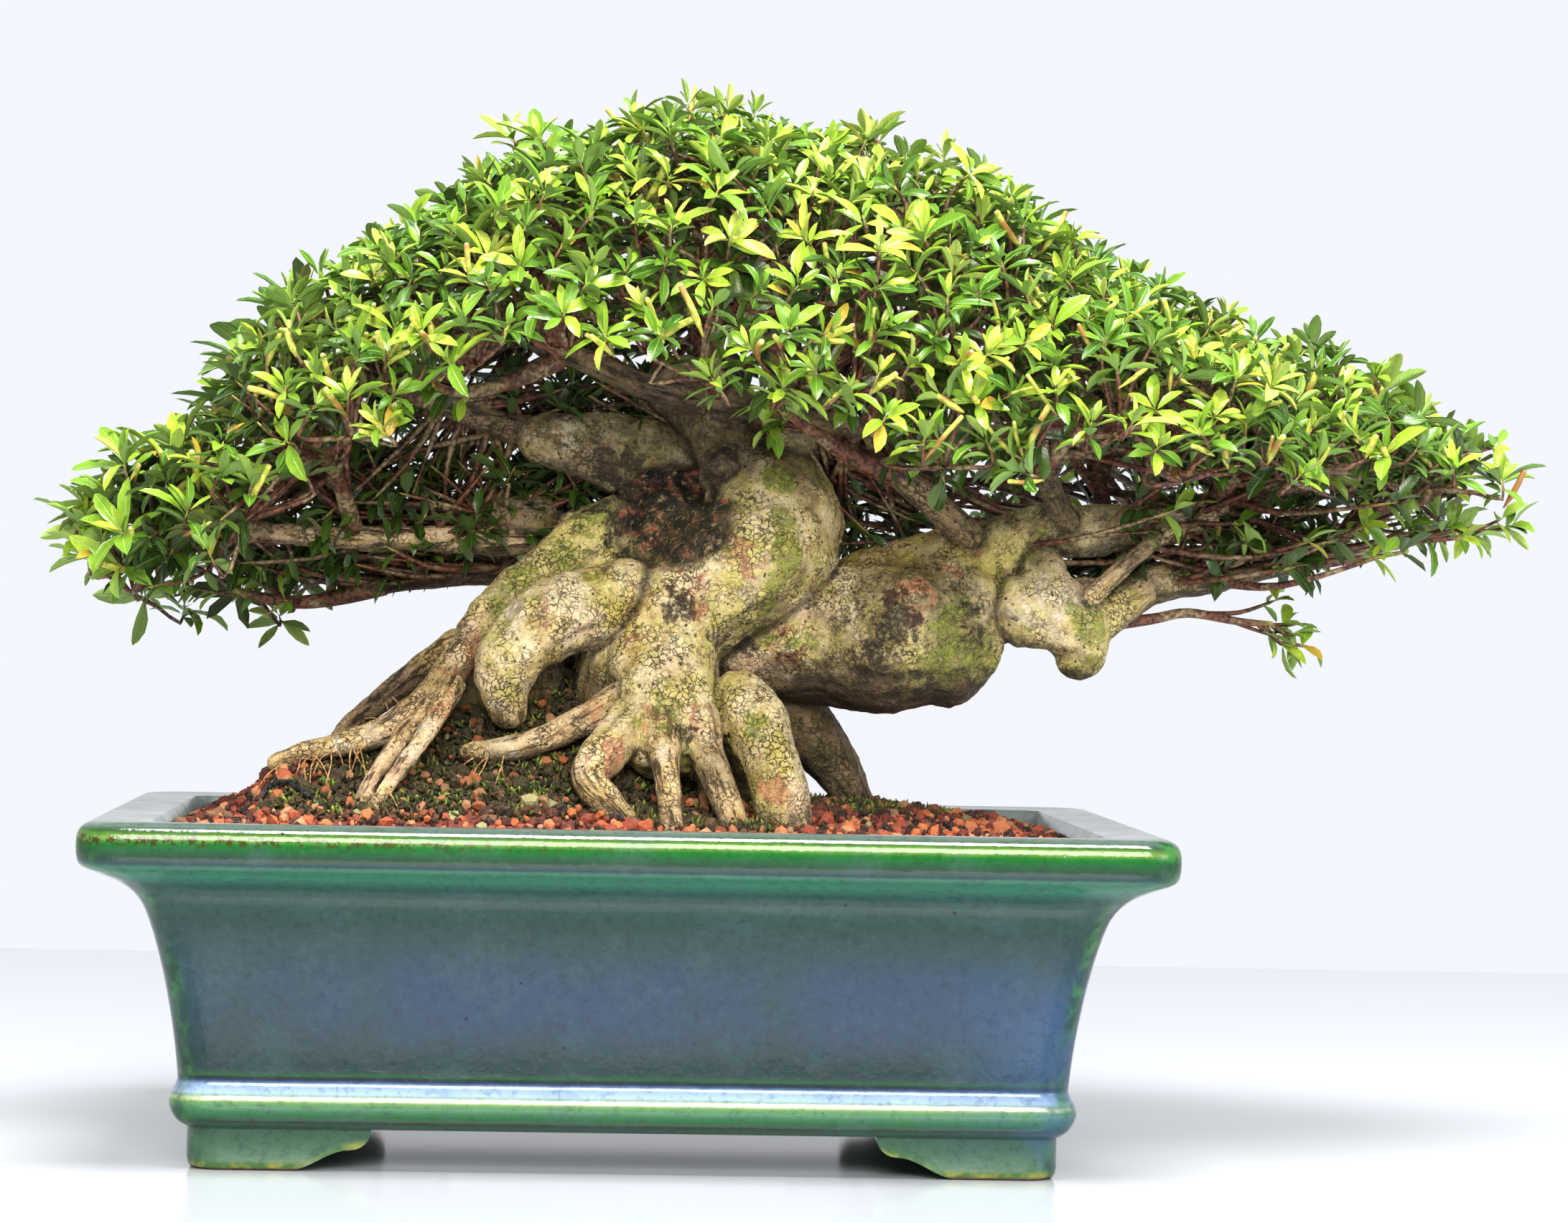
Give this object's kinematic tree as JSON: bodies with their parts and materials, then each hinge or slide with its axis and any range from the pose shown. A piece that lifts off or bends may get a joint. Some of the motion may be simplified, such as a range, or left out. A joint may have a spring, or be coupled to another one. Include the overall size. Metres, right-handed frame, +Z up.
{
  "type": "satsuki azalea bonsai in a pot",
  "caption": "Old azalea bonsai with surface roots, a swollen trunk, a long side limb and a low wide leafy crown, growing from heaped soil in a rectangular glazed pot on feet.",
  "frame": {"origin": "middle of the foot of the whole bounding box, on the surface that the pot stands on", "axes": "+X along the pot's long side towards the long limb, +Y to the back, +Z up; the pictured front faces -Y"},
  "size_m": [0.607, 0.3112, 0.4342],
  "materials": {
    "glaze": "gloss",
    "soil": "matte",
    "bark": "matte",
    "leaf": "satin",
    "mesh": "matte",
    "wire": "satin"
  },
  "bodies": {
    "root": {"pot": "glaze", "soil": "soil", "trunk": "bark", "tie_wire": "wire", "drain_mesh_left": "mesh", "drain_mesh_right": "mesh", "mesh_clip_left": "wire", "mesh_clip_right": "wire", "spray_left_tip": "leaf", "spray_left_low_front": "leaf", "spray_left_low_back": "leaf", "spray_left_upper": "leaf", "spray_front_left": "leaf", "spray_front_middle": "leaf", "spray_front_right": "leaf", "spray_front_far_right": "leaf", "spray_back_left": "leaf", "spray_back_middle": "leaf", "spray_back_right": "leaf", "spray_back_far_right": "leaf", "spray_top_left": "leaf", "spray_apex": "leaf", "spray_top_right": "leaf", "spray_right_upper": "leaf", "spray_right_front": "leaf", "spray_right_back": "leaf", "spray_right_tip": "leaf"}
  },
  "joints": []
}
